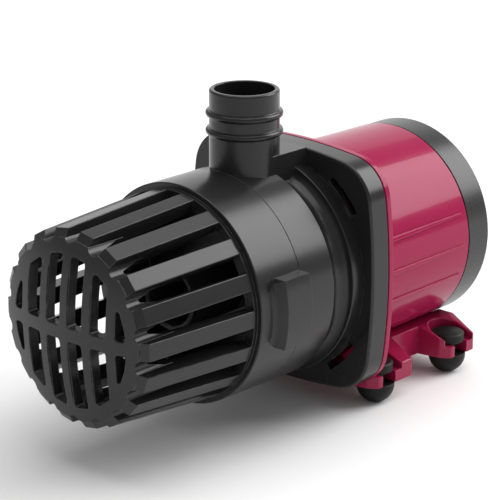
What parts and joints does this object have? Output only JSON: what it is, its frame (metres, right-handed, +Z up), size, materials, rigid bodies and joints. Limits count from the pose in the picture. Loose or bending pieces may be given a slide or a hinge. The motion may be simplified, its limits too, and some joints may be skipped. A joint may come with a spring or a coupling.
{
  "type": "circulation pump",
  "caption": "Canister circulation pump: motor housing on rubber feet, twist-on volute with an upright hose tail, and a pull-off slotted strainer cage.",
  "frame": {"origin": "centre of the bounding box's underside, on the floor under the feet", "axes": "-Y is forward, from the motor's end cap to the strainer's face; +Z is up, along the hose tail; +X completes the right-handed frame"},
  "size_m": [0.1144, 0.234, 0.1534],
  "materials": {
    "crimson_plastic": "satin moulded",
    "crimson_bracket": "satin moulded",
    "charcoal_volute": "satin moulded",
    "charcoal_strainer": "satin moulded",
    "grey_cap": "fine matt",
    "foot_rubber": "matt",
    "seal_rubber": "matt",
    "inner_plastic": "moulded",
    "rotor_plastic": "moulded",
    "ferrite": "sintered, dull",
    "bearing_ceramic": "ground",
    "core_steel": "stacked sheet",
    "winding_copper": "enamelled wire",
    "frame_plastic": "moulded",
    "board_laminate": "solder mask",
    "capacitor_sleeve": "shrink sleeve",
    "screw_steel": "bright"
  },
  "bodies": {
    "motor": {"motor_shell": "crimson_plastic", "rotor_can": "inner_plastic", "stator_core": "core_steel", "stator_coils": "winding_copper", "stator_frame_front": "frame_plastic", "stator_frame_rear": "frame_plastic", "driver_board": "board_laminate", "board_capacitors": "capacitor_sleeve", "end_cap": "grey_cap", "cap_seal": "seal_rubber", "cap_screws": "screw_steel", "cable_gland": "inner_plastic", "well_plate": "inner_plastic", "foot_bracket": "crimson_bracket", "foot_front_left": "foot_rubber", "foot_front_right": "foot_rubber", "foot_rear_left": "foot_rubber", "foot_rear_right": "foot_rubber", "shaft": "bearing_ceramic", "shaft_cushion_rear": "seal_rubber", "thrust_washer_rear": "bearing_ceramic", "volute_seal": "seal_rubber"},
    "rotor": {"impeller": "rotor_plastic", "impeller_shroud": "rotor_plastic", "rotor_jacket": "rotor_plastic", "rotor_magnet": "ferrite", "bush_front": "bearing_ceramic", "bush_rear": "bearing_ceramic"},
    "volute": {"volute_housing": "charcoal_volute", "shaft_cushion_front": "seal_rubber", "thrust_washer_front": "bearing_ceramic"},
    "strainer": {"strainer_cage": "charcoal_strainer"}
  },
  "joints": [
    {"name": "rotor_spin", "type": "hinge", "parent": "motor", "child": "rotor", "pos_m": [0, 0, 0.06692], "axis": [0, -1, 0], "continuous": true},
    {"name": "volute_twist", "type": "hinge", "parent": "motor", "child": "volute", "pos_m": [0, 0, 0.06692], "axis": [0, -1, 0], "range_deg": [0, 15]},
    {"name": "strainer_pull", "type": "slide", "parent": "volute", "child": "strainer", "axis": [0, -1, 0], "range_m": [0, 0.013]}
  ]
}
